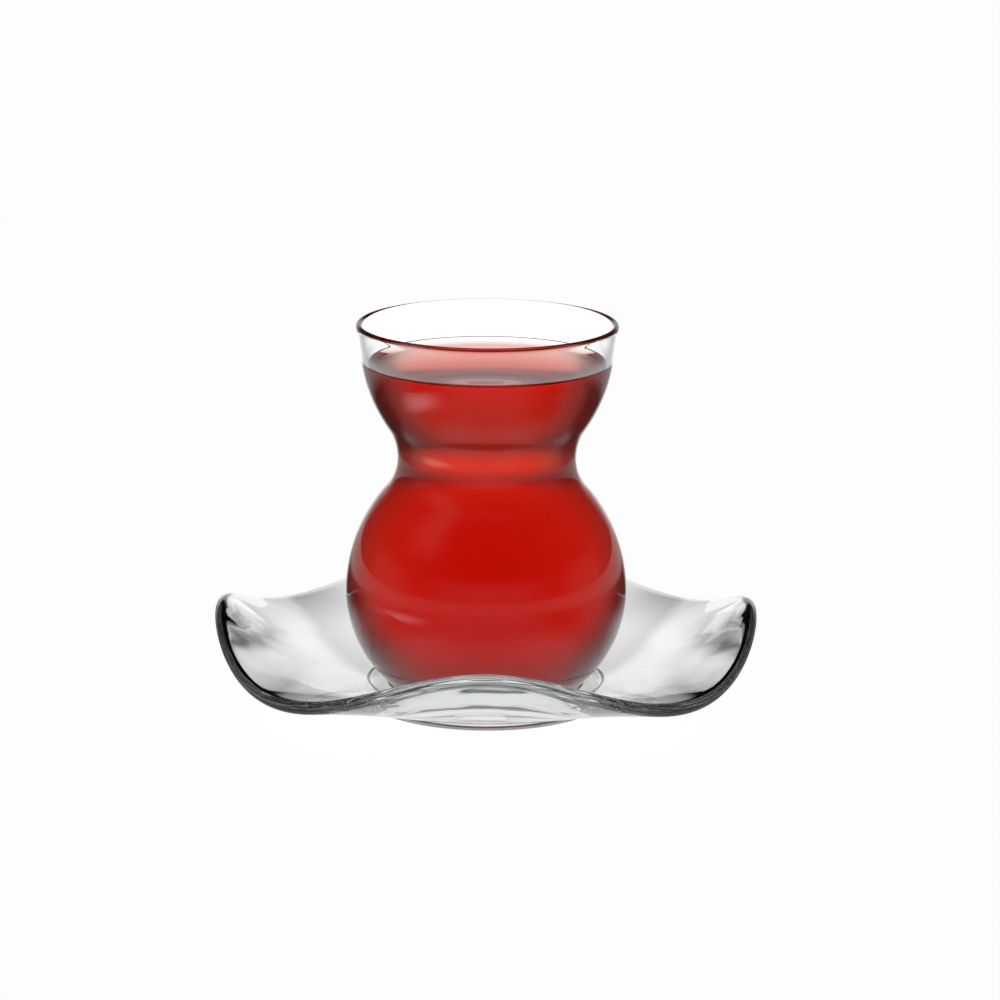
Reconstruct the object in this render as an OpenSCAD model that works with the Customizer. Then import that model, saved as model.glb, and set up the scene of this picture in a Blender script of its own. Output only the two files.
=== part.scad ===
// Hourglass tea glass with a round belly, filled with tea, on its wavy clear saucer.
// Millimetres. The origin is the centre of the saucer's foot and +Z is up. Crests of the
// saucer's lip point along +X, +Y, -X and -Y, with the troughs between them.

/* [Saucer] */
// Diameter of the circle that the middle of the lip follows, seen from above
lip_d = 121.2; // [105:0.1:150]
// Distance by which the lip is drawn in at a crest, and pushed out at a trough
lip_pull = 1.3; // [0:0.1:3]
// Height of the middle of the lip above the table, halfway between crest and trough
lip_z = 15.7; // [13:0.1:22]
// Thickness of the rounded lip
lip_t = 3; // [2:0.1:4]
// Number of crests round the lip
wave_count = 4; // [3:1:6]
// Power of the distance from the well by which the wing thins from the floor's thickness to the lip's
taper_power = 4; // [1:0.5:6]
// Rise of a crest, and fall of a trough, from halfway
wave_h = 4.9; // [0:0.1:7]
// Power of the distance from the well by which the waves grow
wave_power = 2; // [1.5:0.1:4]
// Distance over which the flat well bends up into the wing
bend_w = 5.6; // [2:0.1:14]
// Thickness of the well's floor
floor_t = 4; // [3:0.1:6]
// Diameter over the foot ring
foot_d = 54.8; // [44:0.2:66]
// Width of the foot ring
foot_w = 5.5; // [3:0.5:9]
// Height by which the foot ring stands below the floor
foot_h = 1; // [0.5:0.1:2]

/* [Glass] */
// Height of the glass from its base to its rim
glass_h = 81.1; // [67:0.1:100]
// Diameter over the rim
rim_d = 58.4; // [50:0.1:72]
// Length of the straight flared stretch below the rim
rim_run = 8.1; // [2:0.1:9]
// Angle of the straight stretch from upright
rim_flare = 8.6; // [0:0.1:14]
// Radius of the bulge below the rim over the radius of the hollow curve below it
shoulder_ratio = 2.75; // [1:0.05:5]
// Diameter at the waist
waist_d = 40; // [32:0.5:48]
// Height of the waist above the base
waist_z = 50.5; // [42:0.5:56]
// Radius of the hollow curve between belly and waist
neck_r = 10.4; // [4:0.1:14]
// Diameter over the belly
belly_d = 63; // [54:0.5:76]
// Height of the belly's widest ring above the base
belly_z = 20.3; // [16:0.1:25]
// Diameter of the flat base, measured to the corner before it is rounded
base_d = 45.3; // [37:0.1:54]
// Radius that rounds the edge of the base
base_round = 1; // [0.5:0.1:2]
// Thickness of the wall
wall_t = 1.4; // [1:0.1:2.2]
// Thickness of the bottom
bottom_t = 2.2; // [1.5:0.1:6]
// Radius of the inside corner between bottom and wall
corner_r = 5; // [2:0.5:8]
// Room between the edge of the glass's base and the bend of the well
well_gap = 0.6; // [0.3:0.1:4]

/* [Tea] */
// Depth of the tea's surface below the rim
tea_gap = 9.5; // [3:0.1:20]

/* [Hidden] */
glass_colour = [0.86, 0.91, 0.90, 0.45];
tea_colour = [0.66, 0.11, 0.12];

lip_r = lip_d / 2;
foot_r = foot_d / 2;
rim_r = rim_d / 2;
waist_r = waist_d / 2;
belly_r = belly_d / 2;
base_r = base_d / 2;
well_r = base_r + well_gap;         // where the flat well ends and the wing begins
well_z = foot_h + floor_t;          // the well's top face, on which the glass stands
floor_mid_z = foot_h + floor_t / 2; // the middle of the floor's thickness

turns = 96;      // steps round the saucer
wing_steps = 10; // steps along the wing from well to lip
cap_steps = 6;   // steps round the lip's edge
arc_steps = 10;  // steps along each arc of the glass's outline

// ---- The saucer: a mid line that runs outwards from the well and carries a thickness. ----

// Radius of the middle of the lip at angle a.
function lip_at(a) = lip_r - lip_pull * cos(wave_count * a);

// Share of the way from well to lip at radius r, for the lip's mean radius; 0 within the well.
function share(r) = max(r - well_r, 0) / (lip_r - well_r);

// Mean rise from 0 at the well to 1 at the lip: level at first, bending up into a straight run.
function rise(u) = let(b = bend_w / (lip_r - well_r)) (sqrt(u * u + b * b) - b) / (sqrt(1 + b * b) - b);

// Height of the mid line at share u and angle a: the mean rise, with a cosine wave that grows outwards.
function mid_z(u, a) = floor_mid_z + (lip_z - floor_mid_z) * rise(u)
    + wave_h * cos(wave_count * a) * pow(u, wave_power);

// Point of the mid line in the upright plane at angle a.
function mid(u, a) = [well_r + (lip_at(a) - well_r) * u, mid_z(u, a)];

// Direction of the mid line there, as an angle above level.
function lean(u, a) = let(d = 0.001, p = mid(u - d, a), q = mid(u + d, a)) u == 0 ? 0 : atan2(q.y - p.y, q.x - p.x);

// Half of the thickness, which thins from floor to lip, and most of all near the lip.
function half_t(u) = (floor_t + (lip_t - floor_t) * pow(u, taper_power)) / 2;

// Point of the skin at share u, on the side that lies at angle s from the mid line's direction.
function skin(u, a, s) = mid(u, a) + half_t(u) * [cos(lean(u, a) + s), sin(lean(u, a) + s)];

// Cross-section of the wing at angle a: out along the underside, round the lip, back along the top.
function section(a) = concat(
    [for (i = [0:wing_steps - 1]) skin(i / wing_steps, a, -90)],
    [for (i = [0:cap_steps]) skin(1, a, -90 + 180 * i / cap_steps)],
    [for (i = [wing_steps - 1:-1:0]) skin(i / wing_steps, a, 90)]);

module wings() {
    rings = [for (k = [0:turns - 1]) let(a = 360 * k / turns) [for (p = section(a)) [p.x * cos(a), p.x * sin(a), p.y]]];
    n = len(rings[0]);
    points = [for (ring = rings) each ring];
    sides = [for (k = [0:turns - 1]) let(m = (k + 1) % turns) for (i = [0:n - 2])
        each [[k * n + i, k * n + i + 1, m * n + i + 1], [k * n + i, m * n + i + 1, m * n + i]]];
    under = [for (k = [0:turns - 1]) k * n];
    floor_face = [for (k = [turns - 1:-1:0]) k * n + n - 1];
    polyhedron(points, concat(sides, [under, floor_face]));
}

// The foot ring, whose top follows the mid line so that it ends inside the glass.
module foot_ring() {
    inner_r = foot_r - foot_w;
    rotate_extrude($fn = turns)
        polygon([[inner_r, 0], [foot_r, 0], [foot_r, mid_z(share(foot_r), 0)], [inner_r, mid_z(share(inner_r), 0)]]);
}

module saucer() {
    color(glass_colour) union() {
        wings();
        foot_ring();
    }
}

// ---- The glass: an outline of arcs, each tangent to the next, moved inwards for the inside. ----

// Points along an arc about c with radius r, from angle a0 to angle a1.
function arc(c, r, a0, a1) = [for (i = [0:arc_steps]) let(a = a0 + (a1 - a0) * i / arc_steps) c + r * [cos(a), sin(a)]];

// Below its widest ring the belly is one arc from upright there down to the base's corner.
low_r = (pow(belly_z, 2) + pow(belly_r - base_r, 2)) / (2 * (belly_r - base_r));
low_c = [belly_r - low_r, belly_z];

// Above it the belly is one arc, which touches the hollow neck arc.
neck_c = [waist_r + neck_r, waist_z];
high_r = (pow(waist_z - belly_z, 2) + pow(neck_c.x - belly_r, 2) - pow(neck_r, 2)) / (2 * (belly_r - waist_r));
high_c = [belly_r - high_r, belly_z];
neck_a = atan2(neck_c.y - high_c.y, neck_c.x - high_c.x);

// The rim is a half round; from it the flare runs straight down to the shoulder.
rim_c = [rim_r - wall_t / 2, glass_h - wall_t / 2];
flare_n = [cos(rim_flare), -sin(rim_flare)];
shoulder_top = rim_c + wall_t / 2 * flare_n - rim_run * [sin(rim_flare), cos(rim_flare)];

// From the waist a hollow arc turns outwards by turn_a, and the shoulder's arc turns back to the flare.
climb = shoulder_top - [waist_r, waist_z];
chord_a = atan2(climb.x, climb.y);
turn_a = chord_a + acos((cos(chord_a) + shoulder_ratio * cos(chord_a - rim_flare)) / (1 + shoulder_ratio));
hollow_r = climb.y / ((1 + shoulder_ratio) * sin(turn_a) - shoulder_ratio * sin(rim_flare));
hollow_c = [waist_r + hollow_r, waist_z];
shoulder_r = shoulder_ratio * hollow_r;
shoulder_c = hollow_c + (hollow_r + shoulder_r) * [-cos(turn_a), sin(turn_a)];

// The side from angle a0 of the lower belly arc up to the rim, moved inwards by t.
function side(t, a0) = concat(
    arc(low_c, low_r - t, a0, 0),
    arc(high_c, high_r - t, 0, neck_a),
    arc(neck_c, neck_r + t, 180 + neck_a, 180),
    arc(hollow_c, hollow_r + t, 180, 180 - turn_a),
    arc(shoulder_c, shoulder_r - t, -turn_a, -rim_flare),
    [rim_c + (wall_t / 2 - t) * flare_n]);

// A list of points without those that repeat the point before.
function tidy(points) = [for (i = [0:len(points) - 1]) if (i == 0 || norm(points[i] - points[i - 1]) > 0.001) points[i]];

// A rounding of radius r between the flat at height z and the inside of an arc about low_c of radius big_r.
function corner(z, r, big_r) = let(
    h = low_c.y - z - r,
    c = [low_c.x + sqrt(pow(big_r - r, 2) - h * h), z + r])
    arc(c, r, -90, atan2(c.y - low_c.y, c.x - low_c.x));

// The angle about low_c at which such a corner meets the arc.
function corner_end(z, r, big_r) = -asin((low_c.y - z - r) / (big_r - r));

outside = tidy(concat(
    corner(0, base_round, low_r),
    side(0, corner_end(0, base_round, low_r))));
inside = tidy(concat(
    corner(bottom_t, corner_r, low_r - wall_t),
    side(wall_t, corner_end(bottom_t, corner_r, low_r - wall_t))));
rim = tidy(concat(
    arc(rim_c, wall_t / 2, -rim_flare, 90),
    arc(rim_c, wall_t / 2, 90, 180 - rim_flare)));

module tea_glass() {
    color(glass_colour) translate([0, 0, well_z]) rotate_extrude($fn = turns)
        polygon(tidy(concat([[0, 0]], outside, rim, [for (i = [len(inside) - 1:-1:0]) inside[i]], [[0, bottom_t]])));
}

// ---- The tea: the inside of the glass up to its surface, touching the wall all over. ----

// The part of an upward outline that lies below height z, ending at z.
function below(points, z) = let(
    k = [for (i = [1:len(points) - 1]) if (points[i].y >= z && points[i - 1].y < z) i][0],
    p = points[k - 1],
    q = points[k])
    concat([for (i = [0:k - 1]) points[i]], [p + (z - p.y) / (q.y - p.y) * (q - p)]);

module tea() {
    tea_z = glass_h - tea_gap;
    color(tea_colour) translate([0, 0, well_z]) rotate_extrude($fn = turns)
        polygon(concat([[0, bottom_t]], below(inside, tea_z), [[0, tea_z]]));
}

saucer();
tea_glass();
tea();
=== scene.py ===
"""The looks of a tea glass full of red tea on its wavy clear saucer.

The CAD frame gives the heights and the belly's radius. Saucer, glass and tea are each replaced
by one smooth surface: a profile carried round the axis.
"""
import math

import bpy
import numpy as np
from mathutils import Matrix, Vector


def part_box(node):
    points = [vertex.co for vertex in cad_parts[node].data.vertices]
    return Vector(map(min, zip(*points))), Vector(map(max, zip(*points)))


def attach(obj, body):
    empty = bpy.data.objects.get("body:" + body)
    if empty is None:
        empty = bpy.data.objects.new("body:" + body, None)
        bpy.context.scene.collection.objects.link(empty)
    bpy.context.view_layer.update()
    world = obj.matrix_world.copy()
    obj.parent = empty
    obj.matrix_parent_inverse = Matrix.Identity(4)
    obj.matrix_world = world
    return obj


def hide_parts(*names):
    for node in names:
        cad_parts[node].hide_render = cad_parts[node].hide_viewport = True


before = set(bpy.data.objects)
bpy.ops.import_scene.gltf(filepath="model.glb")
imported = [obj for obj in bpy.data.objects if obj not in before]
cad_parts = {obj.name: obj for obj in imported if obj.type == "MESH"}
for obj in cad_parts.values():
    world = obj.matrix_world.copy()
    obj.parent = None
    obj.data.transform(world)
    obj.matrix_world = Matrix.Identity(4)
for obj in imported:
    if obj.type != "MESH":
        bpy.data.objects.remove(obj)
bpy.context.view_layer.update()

MM = 0.001
SAUCER_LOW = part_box("saucer")[0]
GLASS_LOW, GLASS_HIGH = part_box("tea_glass")
TEA_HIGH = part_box("tea")[1]

# ---- Sizes, in metres ----

# Saucer
WELL_Z = GLASS_LOW.z                 # the glass stands on the floor of the well
FLOOR_T = 4.0 * MM
FOOT_H = WELL_Z - FLOOR_T            # the foot ring stands this far below the floor
LIP_T = 3.0 * MM
TAPER_POWER = 4.0                    # power of the way out with which the wing thins to the lip
LIP_R = 60.6 * MM                    # radius of the middle of the lip, halfway between crest and trough
LIP_PULL = 1.3 * MM                  # drawn in by this at a crest, pushed out at a trough
LIP_Z = 15.7 * MM                    # height of the middle of the lip there
WAVES = 4
WAVE_H = 4.9 * MM
WAVE_POWER = 2.0
BEND_W = 5.6 * MM                    # the well's floor bends up into the wing over this distance
FOOT_R = 27.4 * MM
FOOT_W = 5.5 * MM
FOOT_FILLET = 0.45 * MM

# Glass
GLASS_H = GLASS_HIGH.z - GLASS_LOW.z
RIM_R = 29.2 * MM
RIM_RUN = 8.1 * MM                   # straight flared stretch below the rim
RIM_FLARE = math.radians(8.6)
SHOULDER_RATIO = 2.75                # radius of the bulge over that of the hollow below it
WAIST_R = 20.0 * MM
WAIST_Z = 50.5 * MM
NECK_R = 10.4 * MM
BELLY_R = GLASS_HIGH.x
BELLY_Z = 20.3 * MM
BASE_R = 22.65 * MM
BASE_ROUND = 1.0 * MM
WALL_T = 1.4 * MM
BOTTOM_T = 2.2 * MM
CORNER_R = 5.0 * MM
WELL_R = BASE_R + 0.6 * MM           # where the flat well ends and the wing begins

# Tea
TEA_Z = TEA_HIGH.z - GLASS_LOW.z     # level of the tea above the base of the glass
AIR = 0.02 * MM                      # film of air under the glass's base, and under the foot
TEA_BITE = 0.12 * MM                 # how far the tea reaches into the wall, so that no air shows
CREEP = 1.2 * MM                     # how high the tea climbs the wall
CREEP_REACH = 1.5 * MM               # distance from the wall over which that falls away


# ---- Outlines: arrays of (radius, height) points ----

def arc(centre, radius, start, end, step=0.6 * MM):
    """Points on the circle about centre, from angle start to angle end, about one step apart."""
    count = max(6, int(math.ceil(abs(end - start) * radius / step)))
    a = np.linspace(start, end, count + 1)
    return np.stack([centre[0] + radius * np.cos(a), centre[1] + radius * np.sin(a)], 1)


def line(p, q, step=0.8 * MM):
    """Points on the straight line from p to q, about one step apart."""
    p, q = np.asarray(p, float), np.asarray(q, float)
    count = max(2, int(math.ceil(np.linalg.norm(q - p) / step)))
    return p + np.linspace(0.0, 1.0, count + 1)[:, None] * (q - p)


def join(*parts):
    """The parts one after another, without points that repeat the one before."""
    points = np.concatenate(parts)
    gap = np.linalg.norm(np.diff(points, axis=0), axis=1)
    return points[np.concatenate([[True], gap > 0.002 * MM])]


class Glass:
    """The arcs of the glass's side, each tangent to the next, in the glass's own height."""
    low_r = (BELLY_Z ** 2 + (BELLY_R - BASE_R) ** 2) / (2 * (BELLY_R - BASE_R))
    low_c = (BELLY_R - low_r, BELLY_Z)
    neck_c = (WAIST_R + NECK_R, WAIST_Z)
    high_r = ((WAIST_Z - BELLY_Z) ** 2 + (neck_c[0] - BELLY_R) ** 2 - NECK_R ** 2) / (2 * (BELLY_R - WAIST_R))
    high_c = (BELLY_R - high_r, BELLY_Z)
    neck_a = math.atan2(neck_c[1] - high_c[1], neck_c[0] - high_c[0])
    rim_c = np.array([RIM_R - WALL_T / 2, GLASS_H - WALL_T / 2])
    flare_n = np.array([math.cos(RIM_FLARE), -math.sin(RIM_FLARE)])
    flare_d = np.array([math.sin(RIM_FLARE), math.cos(RIM_FLARE)])
    climb = rim_c + WALL_T / 2 * flare_n - RIM_RUN * flare_d - (WAIST_R, WAIST_Z)
    chord_a = math.atan2(climb[0], climb[1])
    turn_a = chord_a + math.acos(
        (math.cos(chord_a) + SHOULDER_RATIO * math.cos(chord_a - RIM_FLARE)) / (1 + SHOULDER_RATIO))
    hollow_r = climb[1] / ((1 + SHOULDER_RATIO) * math.sin(turn_a) - SHOULDER_RATIO * math.sin(RIM_FLARE))
    hollow_c = (WAIST_R + hollow_r, WAIST_Z)
    shoulder_r = SHOULDER_RATIO * hollow_r
    shoulder_c = (hollow_c[0] - (hollow_r + shoulder_r) * math.cos(turn_a),
                  hollow_c[1] + (hollow_r + shoulder_r) * math.sin(turn_a))


def corner(z, radius, belly):
    """A rounding between the flat at height z and the inside of the lower belly arc of radius belly.

    Its centre lies radius above the flat and belly - radius from the belly arc's centre.
    """
    drop = Glass.low_c[1] - z - radius
    centre = (Glass.low_c[0] + math.sqrt((belly - radius) ** 2 - drop ** 2), z + radius)
    end = math.atan2(-drop, centre[0] - Glass.low_c[0])
    return arc(centre, radius, -math.pi / 2, end, 0.2 * MM), end


def side(inset, start):
    """The glass's side from the lower belly arc up to the rim, moved inwards by inset."""
    g = Glass
    return join(
        arc(g.low_c, g.low_r - inset, start, 0),
        arc(g.high_c, g.high_r - inset, 0, g.neck_a),
        arc(g.neck_c, NECK_R + inset, math.pi + g.neck_a, math.pi),
        arc(g.hollow_c, g.hollow_r + inset, math.pi, math.pi - g.turn_a),
        arc(g.shoulder_c, g.shoulder_r - inset, -g.turn_a, -RIM_FLARE),
        line(g.shoulder_c + (g.shoulder_r - inset) * g.flare_n, g.rim_c + (WALL_T / 2 - inset) * g.flare_n))


def wall(inset, z, radius):
    """From the axis along the flat at height z, round the corner and up the side to the rim."""
    bend, end = corner(z, radius, Glass.low_r - inset)
    return join(line((0, z), bend[0]), bend, side(inset, end))


def glass_outline():
    """Up the outside from the axis, over the half-round rim and down the inside to the axis."""
    rim = arc(Glass.rim_c, WALL_T / 2, -RIM_FLARE, math.pi - RIM_FLARE, 0.12 * MM)
    return join(wall(0.0, 0.0, BASE_ROUND), rim, wall(WALL_T, BOTTOM_T, CORNER_R)[::-1])


def tea_outline():
    """Inside of the glass moved out into the wall, up to the tea, whose surface climbs the wall.

    The surface stands above the level by CREEP times e to the power of minus its distance
    from the wall over CREEP_REACH.
    """
    outside = wall(WALL_T - TEA_BITE, BOTTOM_T - TEA_BITE, CORNER_R)
    top_z = TEA_Z + CREEP
    upper = outside[outside[:, 1] > WAIST_Z]
    top_r = np.interp(top_z, upper[:, 1], upper[:, 0])
    outside = np.concatenate([outside[outside[:, 1] < top_z - 0.05 * MM], [[top_r, top_z]]])
    share = np.linspace(0.0, 1.0, 60)
    radius = top_r * (1 - share ** 2)
    surface = np.stack([radius, TEA_Z + CREEP * np.exp(-(top_r - radius) / CREEP_REACH)], 1)
    return join(outside, surface)


# ---- The saucer: a mid line that runs outwards from the well and carries a thickness ----

def mid_line(u, a):
    """Radius and height of the mid line at share u from well to lip and angle a.

    The height is a mean rise, which starts level and bends into a straight run as a
    hyperbola does, plus a cosine of WAVES times the angle that grows with a power of u.
    """
    wave = np.cos(WAVES * a)
    middle = FOOT_H + FLOOR_T / 2
    bend = BEND_W / (LIP_R - WELL_R)
    rise = (np.sqrt(u * u + bend * bend) - bend) / (math.sqrt(1 + bend * bend) - bend)
    radius = WELL_R + (LIP_R - LIP_PULL * wave - WELL_R) * u
    return radius, middle + (LIP_Z - middle) * rise + WAVE_H * wave * u ** WAVE_POWER


def skin(u, a, s):
    """The skin at share u, in the direction that lies at angle s from the mid line's own.

    It lies half the thickness away. The thickness is the floor's plus the lip's less the
    floor's, times u to the power of TAPER_POWER.
    """
    d = 1e-4                         # the mid line's direction is taken between u - d and u + d
    r0, z0 = mid_line(np.maximum(u - d, 0), a)
    r1, z1 = mid_line(u + d, a)
    lean = np.where(u < d, 0.0, np.arctan2(z1 - z0, r1 - r0))
    half = (FLOOR_T + (LIP_T - FLOOR_T) * u ** TAPER_POWER) / 2
    r, z = mid_line(u, a)
    return np.stack([r + half * np.cos(lean + s), z + half * np.sin(lean + s)], -1)


def foot_outline():
    """From the axis along the recess, down and round the foot ring to its outer side."""
    inner = FOOT_R - FOOT_W
    fillet = FOOT_FILLET
    return join(
        line((0, FOOT_H), (inner - fillet, FOOT_H), 1.6 * MM),
        arc((inner - fillet, FOOT_H - fillet), fillet, math.pi / 2, 0, 0.1 * MM),
        arc((inner + fillet, fillet), fillet, math.pi, 1.5 * math.pi, 0.1 * MM),
        line((inner + fillet, 0), (FOOT_R - fillet, 0), 0.8 * MM),
        arc((FOOT_R - fillet, fillet), fillet, -math.pi / 2, 0, 0.1 * MM))


def saucer_grid(turns=288):
    """Every cross-section of the saucer, as an array of turns by points by (radius, height).

    Each runs from the axis over the foot ring, out along the underside, round the lip and
    back along the top to the axis.
    """
    a = np.linspace(0, 2 * math.pi, turns, endpoint=False)[:, None]
    run = LIP_R - WELL_R
    close = 0.05 * MM                # points this close to the corner of foot and underside keep it sharp
    u_foot = (FOOT_R - WELL_R) / run
    u_out = np.concatenate([[u_foot + close / run], np.linspace(u_foot, 1, 56)[1:-1]])[None, :]
    under = skin(u_out, a, -math.pi / 2)
    corner_point = skin(np.array([[u_foot]]), a, -math.pi / 2)
    foot_side = np.concatenate([corner_point, corner_point], 1)
    foot_side[..., 0] = FOOT_R
    foot_side[:, 0, 1] -= close
    turn = np.linspace(-math.pi / 2, math.pi / 2, 19)[None, :]
    lip = skin(np.ones_like(turn), a, turn)
    over = skin(np.linspace(1, 0, 64)[None, 1:], a, math.pi / 2)
    well = line((WELL_R, WELL_Z), (0, WELL_Z), 1.6 * MM)[1:]
    foot, well = (np.broadcast_to(p[None], (turns,) + p.shape) for p in (foot_outline(), well))
    return np.concatenate([foot, foot_side, under, lip, over, well], 1)


# ---- Meshes ----

def closed_mesh(name, rings):
    """A closed surface from cross-sections round the axis.

    rings is an array of turns by points by (radius, height), the first and last points on
    the axis. Point (k, i) goes to radius times (cos, sin) of turn k; the axis points close
    as fans of triangles.
    """
    turns, n = rings.shape[:2]
    a = np.linspace(0, 2 * math.pi, turns, endpoint=False)[:, None]
    r, z = rings[:, 1:-1, 0], rings[:, 1:-1, 1]
    body = np.stack([r * np.cos(a), r * np.sin(a), z], -1).reshape(-1, 3)
    poles = np.array([[0, 0, rings[0, 0, 1]], [0, 0, rings[0, -1, 1]]])
    points = np.concatenate([body, poles])
    m = n - 2
    k = np.arange(turns)[:, None]
    i = np.arange(m - 1)[None, :]
    here, there = k * m + i, (k + 1) % turns * m + i
    quads = np.stack([here, there, there + 1, here + 1], -1).reshape(-1, 4)
    k = np.arange(turns)
    after = (k + 1) % turns
    first = np.stack([np.full(turns, turns * m), after * m, k * m], -1)
    last = np.stack([np.full(turns, turns * m + 1), k * m + m - 1, after * m + m - 1], -1)
    triangles = np.concatenate([first, last])
    corners = np.concatenate([quads.ravel(), triangles.ravel()])
    counts = np.concatenate([np.full(len(quads), 4), np.full(len(triangles), 3)])
    mesh = bpy.data.meshes.new(name)
    mesh.vertices.add(len(points))
    mesh.vertices.foreach_set("co", points.ravel())
    mesh.loops.add(len(corners))
    mesh.loops.foreach_set("vertex_index", corners.astype(np.int32))
    mesh.polygons.add(len(counts))
    mesh.polygons.foreach_set("loop_start", (np.cumsum(counts) - counts).astype(np.int32))
    mesh.polygons.foreach_set("use_smooth", np.ones(len(counts), bool))
    mesh.update(calc_edges=True)
    mesh.validate()
    piece = bpy.data.objects.new(name, mesh)
    bpy.context.scene.collection.objects.link(piece)
    return piece


def turned(name, outline, lift, turns=168):
    """A surface of revolution of one outline, lifted to its height."""
    outline = outline + (0, lift)
    outline[[0, -1], 0] = 0
    return closed_mesh(name, np.broadcast_to(outline[None], (turns,) + outline.shape))


# ---- Materials ----

def linear(code):
    """A linear colour from an sRGB hex code."""
    c = np.array([int(code[i:i + 2], 16) for i in (1, 3, 5)]) / 255
    return tuple(np.where(c <= 0.04045, c / 12.92, ((c + 0.055) / 1.055) ** 2.4)) + (1.0,)


def add(tree, kind, inputs=None, **settings):
    """Adds a node, gives it its settings, and sets or links each input by name or number."""
    node = tree.nodes.new(kind)
    for key, value in settings.items():
        setattr(node, key, value)
    for key, value in (inputs or {}).items():
        if isinstance(value, bpy.types.NodeSocket):
            tree.links.new(value, node.inputs[key])
        else:
            node.inputs[key].default_value = value
    return node


def smooth(tree, value, start, end, at_start, at_end):
    """A level that goes from at_start to at_end as value goes from start to end.

    With t the share of the way, it follows 3 t squared minus 2 t cubed.
    """
    return add(tree, "ShaderNodeMapRange", {
        "Value": value, "From Min": start, "From Max": end, "To Min": at_start, "To Max": at_end},
        interpolation_type="SMOOTHSTEP").outputs["Result"]


def new_tree(name):
    """An empty material's node tree, with its output."""
    material = bpy.data.materials.new(name)
    material.use_nodes = True
    tree = material.node_tree
    tree.nodes.clear()
    return material, tree, tree.nodes.new("ShaderNodeOutputMaterial")


def soda_lime_glass(name, wave_mm, wave_depth, tint, density, sheen):
    """Soda-lime glass, fire-polished: clear, smooth, faintly uneven, grey-green where it is thick.

    Its skin swells by wave_depth over about wave_mm. A thin film dulls it by at most 0.02.
    """
    material, tree, out = new_tree(name)
    place = add(tree, "ShaderNodeTexCoord").outputs["Object"]
    swell = add(tree, "ShaderNodeTexNoise", {"Vector": place, "Scale": 1 / (wave_mm * MM), "Detail": 1.0})
    bump = add(tree, "ShaderNodeBump", {
        "Height": swell.outputs["Fac"], "Strength": 1.0, "Distance": wave_depth})
    film = add(tree, "ShaderNodeTexNoise", {"Vector": place, "Scale": 90.0, "Detail": 4.0})
    rough = add(tree, "ShaderNodeMapRange", {
        "Value": film.outputs["Fac"], "From Min": 0.35, "From Max": 0.75, "To Min": 0.0, "To Max": 0.02})
    skin_shader = add(tree, "ShaderNodeBsdfPrincipled", {
        "Base Color": linear("#FFFFFF"), "Transmission Weight": 1.0, "IOR": 1.52,
        "Specular Tint": linear(sheen), "Roughness": rough.outputs["Result"],
        "Normal": bump.outputs["Normal"]})
    depth = add(tree, "ShaderNodeVolumeAbsorption", {"Color": linear(tint), "Density": density})
    tree.links.new(skin_shader.outputs["BSDF"], out.inputs["Surface"])
    tree.links.new(depth.outputs["Volume"], out.inputs["Volume"])
    return material


def brewed_tea(name):
    """Brewed black tea: clear water that takes out green and blue within millimetres, and some red.

    A slight cloudiness is drawn as dull sides, which soften what is seen through it. Its open
    surface is smooth, with faint stirring. It mirrors nothing where it wets the glass.
    """
    material, tree, out = new_tree(name)
    place = add(tree, "ShaderNodeTexCoord").outputs["Object"]
    stir = add(tree, "ShaderNodeTexNoise", {"Vector": place, "Scale": 60.0, "Detail": 1.0})
    bump = add(tree, "ShaderNodeBump", {
        "Height": stir.outputs["Fac"], "Strength": 1.0, "Distance": 0.02 * MM})
    height = add(tree, "ShaderNodeSeparateXYZ", {0: place}).outputs["Z"]
    rough = smooth(tree, height, TEA_HIGH.z - 2 * MM, TEA_HIGH.z - 1 * MM, 0.35, 0.0)
    skin_shader = add(tree, "ShaderNodeBsdfPrincipled", {
        "Base Color": linear("#FFFFFF"), "Transmission Weight": 1.0, "IOR": 1.333,
        "Specular Tint": linear("#000000"), "Roughness": rough, "Normal": bump.outputs["Normal"]})
    depth = add(tree, "ShaderNodeVolumeAbsorption", {"Color": linear("#F47E3A"), "Density": 120.0})
    tree.links.new(skin_shader.outputs["BSDF"], out.inputs["Surface"])
    tree.links.new(depth.outputs["Volume"], out.inputs["Volume"])
    return material


# ---- Studio: angles are level ones in degrees, distances are from the axis ----

WALL_IN, WALL_OUT = 14, 36           # angles from straight back at which the wall starts and ends to dim
WALL_BRIGHT, WALL_DIM = 1.2, 0.05
FRONT_IN, FRONT_OUT = 120, 160       # angles at which it starts and ends to brighten again in front
WALL_FRONT = 0.4
FLANK_IN, FLANK_OUT = 8, 26          # angles off straight out at which either flank starts and ends to dim
FLANK = 0.25
WALL_SHARE = 0.66                    # brightness of the wall over that of the table below it
WALL_LOW, WALL_HIGH = 0.17, 0.30     # sines of the elevations at which the wall starts and ends to dim
CEILING_LOW, CEILING_HIGH = 0.85, 0.97   # sines at which the ceiling starts and ends to brighten
CEILING = 0.15
DIM = 0.02                           # the rest of the room

STRIP_AT = 114                       # angle from straight back, to the left, of the strip's middle
STRIP_IN, STRIP_OUT = 2, 30          # angles off its middle at which it starts and ends to dim
STRIP_BOTTOM, STRIP_TOP = 0.3, 0.6   # sines at which it starts and ends to brighten above the wall
STRIP_HIGH = 0.35                    # brightness above the wall
# The strip's pool of light is painted on the table's glow, not cast by a lamp.
STRIP_LOW = 2.4                      # brightness of its pool on the table
STRIP_NEAR = (90 * MM, 110 * MM)     # distances at which that pool starts and ends to brighten
STRIP_FAR = (120 * MM, 150 * MM)     # and to dim

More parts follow.
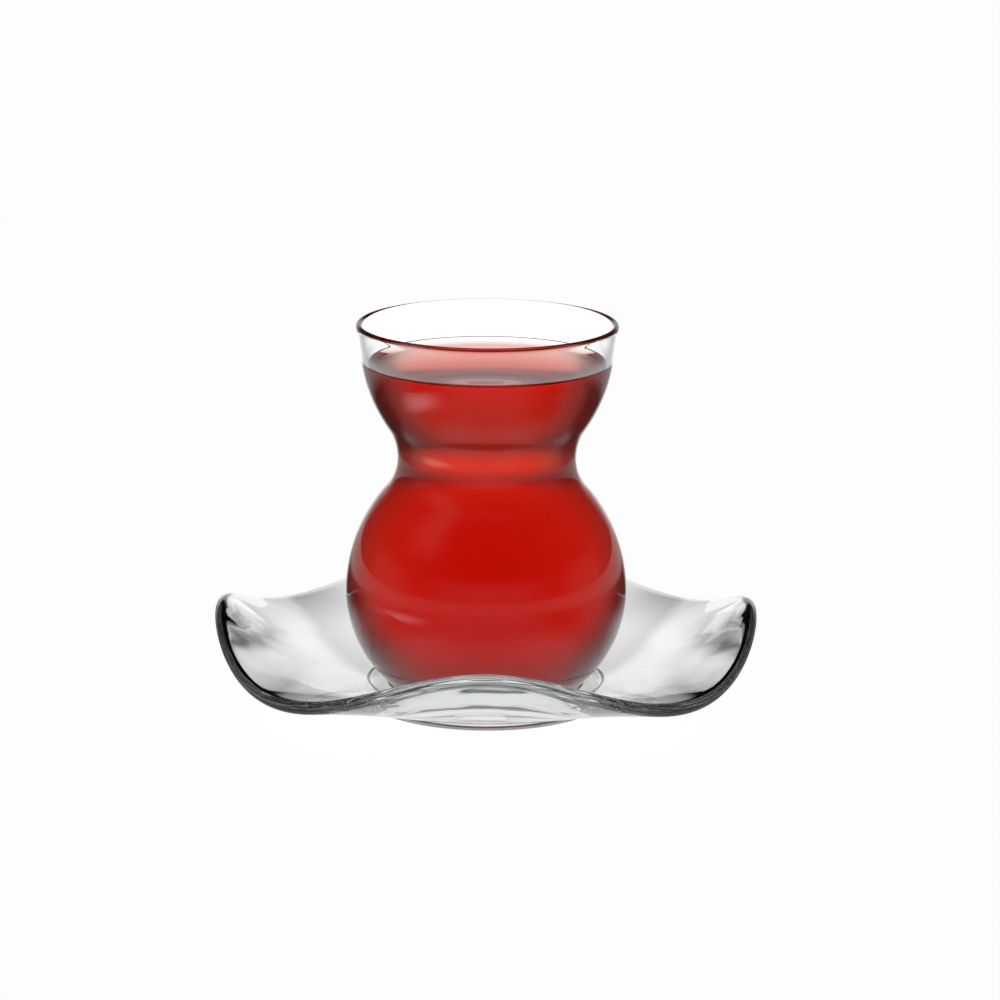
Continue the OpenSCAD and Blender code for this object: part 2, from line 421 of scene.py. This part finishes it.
TABLE_SEEN = 0.95                    # glow of the table as seen directly
# Painted light on the table, seen only by the glass: dim in front, brighter under and behind it, with painted
# shade to the sides.
FLOOR_FRONT, FLOOR_UNDER, FLOOR_BACK = 0.35, 0.85, 1.05
STEP_FRONT = (-75 * MM, -35 * MM)    # depths between which the front of the table gives way to the middle
STEP_BACK = (-10 * MM, 50 * MM)      # and the middle to the back
SIDE = 0.42                          # share of that brightness that is left out to the sides
SIDE_IN, SIDE_OUT = 28 * MM, 60 * MM     # distances aside at which it starts and ends to dim
POOL_IN, POOL_OUT = 55 * MM, 100 * MM    # distances at which this gives way to the room's brightness
FAR_IN, FAR_OUT = 160 * MM, 240 * MM     # distances over which the least level rises to FAR_LEVEL
FAR_LEVEL = 0.55


def bearing(tree, x, y):
    """How bright the room is in the level direction (x, y), and the strip's share there.

    The room is the sum of smooth steps of the angle from straight back: the wall behind, the
    front and the two flanks. The strip is a smooth step of the angle from its own middle.
    """
    turn = add(tree, "ShaderNodeMath", {0: x, 1: y}, operation="ARCTAN2").outputs[0]
    degrees = add(tree, "ShaderNodeMath", {0: turn}, operation="DEGREES").outputs[0]
    angle = add(tree, "ShaderNodeMath", {0: degrees}, operation="ABSOLUTE").outputs[0]
    past_side = add(tree, "ShaderNodeMath", {0: angle, 1: 90.0}, operation="SUBTRACT").outputs[0]
    from_side = add(tree, "ShaderNodeMath", {0: past_side}, operation="ABSOLUTE").outputs[0]
    past_strip = add(tree, "ShaderNodeMath", {0: degrees, 1: STRIP_AT}, operation="ADD").outputs[0]
    from_strip = add(tree, "ShaderNodeMath", {0: past_strip}, operation="ABSOLUTE").outputs[0]
    behind = smooth(tree, angle, WALL_IN, WALL_OUT, WALL_BRIGHT, WALL_DIM)
    front = smooth(tree, angle, FRONT_IN, FRONT_OUT, 0.0, WALL_FRONT - WALL_DIM)
    flanks = smooth(tree, from_side, FLANK_IN, FLANK_OUT, FLANK, 0.0)
    both = add(tree, "ShaderNodeMath", {0: behind, 1: front}, operation="ADD").outputs[0]
    room = add(tree, "ShaderNodeMath", {0: both, 1: flanks}, operation="ADD").outputs[0]
    return room, smooth(tree, from_strip, STRIP_IN, STRIP_OUT, 1.0, 0.0)


def table_with_painted_glow(name):
    """A white table that glows; where the glass shows it, light is painted on it.

    Seen directly it glows evenly white and takes a faint shadow. What the glass mirrors and
    bends is a painted glow: brightest behind the glass, with painted shade in front of it and
    to its sides. Further out it is as bright as the room in that direction, with the strip's
    pool of light painted on it, and never darker than FAR_LEVEL far away.
    """
    material, tree, out = new_tree(name)
    place = add(tree, "ShaderNodeTexCoord").outputs["Object"]
    split = add(tree, "ShaderNodeSeparateXYZ", {0: place})
    x, y = split.outputs["X"], split.outputs["Y"]
    # Painted light for the glass's rays: brighter under and behind the glass, painted shade in front and to
    # the sides, and a painted pool of light from the strip.
    middle = smooth(tree, y, *STEP_FRONT, FLOOR_FRONT, FLOOR_UNDER)
    back = smooth(tree, y, *STEP_BACK, 0.0, FLOOR_BACK - FLOOR_UNDER)
    along = add(tree, "ShaderNodeMath", {0: middle, 1: back}, operation="ADD").outputs[0]
    across = add(tree, "ShaderNodeMath", {0: x}, operation="ABSOLUTE").outputs[0]
    behind = add(tree, "ShaderNodeMath", {0: y, 1: 0.0}, operation="MAXIMUM").outputs[0]
    aside = add(tree, "ShaderNodeMath", {0: across, 1: behind}, operation="SUBTRACT").outputs[0]
    side_share = smooth(tree, aside, SIDE_IN, SIDE_OUT, 1.0, SIDE)
    near = add(tree, "ShaderNodeMath", {0: along, 1: side_share}, operation="MULTIPLY").outputs[0]
    room, strip = bearing(tree, x, y)
    reach = add(tree, "ShaderNodeVectorMath", {0: place}, operation="LENGTH").outputs["Value"]
    pool_start = smooth(tree, reach, *STRIP_NEAR, 0.0, 1.0)
    pool_end = smooth(tree, reach, *STRIP_FAR, STRIP_LOW, 0.0)
    band = add(tree, "ShaderNodeMath", {0: pool_start, 1: pool_end}, operation="MULTIPLY").outputs[0]
    pool = add(tree, "ShaderNodeMath", {0: strip, 1: band}, operation="MULTIPLY").outputs[0]
    least = smooth(tree, reach, FAR_IN, FAR_OUT, 0.0, FAR_LEVEL)
    base = add(tree, "ShaderNodeMath", {0: room, 1: least}, operation="MAXIMUM").outputs[0]
    far = add(tree, "ShaderNodeMath", {0: base, 1: pool}, operation="ADD").outputs[0]
    share = smooth(tree, reach, POOL_IN, POOL_OUT, 0.0, 1.0)
    painted_glow = add(tree, "ShaderNodeMix", {0: share, 2: near, 3: far}, data_type="FLOAT").outputs[0]
    seen = add(tree, "ShaderNodeLightPath").outputs["Is Camera Ray"]
    level = add(tree, "ShaderNodeMix", {0: seen, 2: painted_glow, 3: TABLE_SEEN}, data_type="FLOAT").outputs[0]
    glow = add(tree, "ShaderNodeEmission", {"Color": linear("#FFFFFF"), "Strength": level})
    sheet = add(tree, "ShaderNodeBsdfDiffuse", {"Color": linear("#A0A0A0")})
    dark = add(tree, "ShaderNodeBsdfDiffuse", {"Color": linear("#000000")})
    top = add(tree, "ShaderNodeMixShader", {0: seen, 1: dark.outputs[0], 2: sheet.outputs[0]})
    both = add(tree, "ShaderNodeAddShader", {0: glow.outputs[0], 1: top.outputs[0]})
    tree.links.new(both.outputs[0], out.inputs["Surface"])
    return material


def studio_floor(size=6.0):
    """A flat square under the foot."""
    h = size / 2
    mesh = bpy.data.meshes.new("table")
    mesh.from_pydata([(-h, -h, 0), (h, -h, 0), (h, h, 0), (-h, h, 0)], [], [(0, 1, 2, 3)])
    piece = bpy.data.objects.new("table", mesh)
    piece.location.z = SAUCER_LOW.z - AIR
    bpy.context.scene.collection.objects.link(piece)
    mesh.materials.append(table_with_painted_glow("glowing acrylic with painted light"))


def studio_world():
    """White behind everything for the camera; for the glass, a studio with a low white wall.

    The wall is brightest behind the glass, and ends in a dim band below a grey ceiling. A
    soft strip stands above it at the front left.
    """
    world = bpy.data.worlds.new("studio")
    bpy.context.scene.world = world
    world.use_nodes = True
    tree = world.node_tree
    tree.nodes.clear()
    direction = add(tree, "ShaderNodeTexCoord").outputs["Generated"]
    split = add(tree, "ShaderNodeSeparateXYZ", {0: direction})
    x, y, z = (split.outputs[k] for k in "XYZ")
    room, strip = bearing(tree, x, y)
    wall_share = smooth(tree, z, WALL_LOW, WALL_HIGH, WALL_SHARE, 0.0)
    low = add(tree, "ShaderNodeMath", {0: room, 1: wall_share}, operation="MULTIPLY").outputs[0]
    strip_share = smooth(tree, z, STRIP_BOTTOM, STRIP_TOP, 0.0, STRIP_HIGH)
    high = add(tree, "ShaderNodeMath", {0: strip, 1: strip_share}, operation="MULTIPLY").outputs[0]
    ceiling = smooth(tree, z, CEILING_LOW, CEILING_HIGH, DIM, DIM + CEILING)
    sides = add(tree, "ShaderNodeMath", {0: low, 1: high}, operation="ADD").outputs[0]
    total = add(tree, "ShaderNodeMath", {0: sides, 1: ceiling}, operation="ADD").outputs[0]
    seen = add(tree, "ShaderNodeLightPath").outputs["Is Camera Ray"]
    level = add(tree, "ShaderNodeMix", {0: seen, 2: total, 3: 1.0}, data_type="FLOAT").outputs[0]
    glow = add(tree, "ShaderNodeBackground", {"Color": (1, 1, 1, 1), "Strength": level})
    out = add(tree, "ShaderNodeOutputWorld")
    tree.links.new(glow.outputs[0], out.inputs["Surface"])


def camera():
    """A long lens from in front, a little above the rim, turned a little about its own axis."""
    distance, height, aside = 0.899, 0.2629, 0.003
    dip, roll = 0.237, 0.006
    data = bpy.data.cameras.new("camera")
    data.sensor_width = 36.0
    data.lens = 148.75
    data.clip_start = 0.01
    obj = bpy.data.objects.new("camera", data)
    obj.matrix_world = (Matrix.Translation((aside, -distance, height))
                        @ Matrix.Rotation(math.radians(90) - dip, 4, "X") @ Matrix.Rotation(roll, 4, "Z"))
    bpy.context.scene.collection.objects.link(obj)
    bpy.context.scene.camera = obj


def render_settings():
    """Plain display of colours, and enough bounces for light to pass through glass and tea."""
    scene = bpy.context.scene
    scene.view_settings.view_transform = "Standard"
    scene.cycles.use_denoising = True
    scene.cycles.max_bounces = 32
    scene.cycles.transmission_bounces = 32
    scene.cycles.glossy_bounces = 16
    scene.cycles.diffuse_bounces = 3
    scene.cycles.caustics_refractive = True
    scene.cycles.caustics_reflective = True
    scene.cycles.blur_glossy = 0.0


def place(piece, node, slot, material):
    """Gives a finished piece its material, hangs it under the root body and hides the CAD node it replaces.
    """
    piece.data.materials.append(material)
    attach(piece, "root")
    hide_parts(node)


camera()
render_settings()
studio_floor()
studio_world()

pressed = soda_lime_glass("pressed soda-lime glass", 14.0, 0.1 * MM, "#E2E7E5", 10.0, "#FFFFFF")
saucer = closed_mesh("pressed_saucer", saucer_grid())
place(saucer, "saucer", "saucer_glass", pressed)

# Where tea wets it, the inside of the glass mirrors far less, so its skin is dimmed as a whole.
blown = soda_lime_glass("blown soda-lime glass", 22.0, 0.04 * MM, "#F0F6F3", 3.0, "#B0B0B0")
glass = turned("blown_glass", glass_outline(), GLASS_LOW.z)
glass.data.transform(Matrix.Translation((0, 0, AIR)))
place(glass, "tea_glass", "cup_glass", blown)

tea = turned("brewed_tea", tea_outline(), GLASS_LOW.z)
place(tea, "tea", "tea", brewed_tea("brewed black tea"))
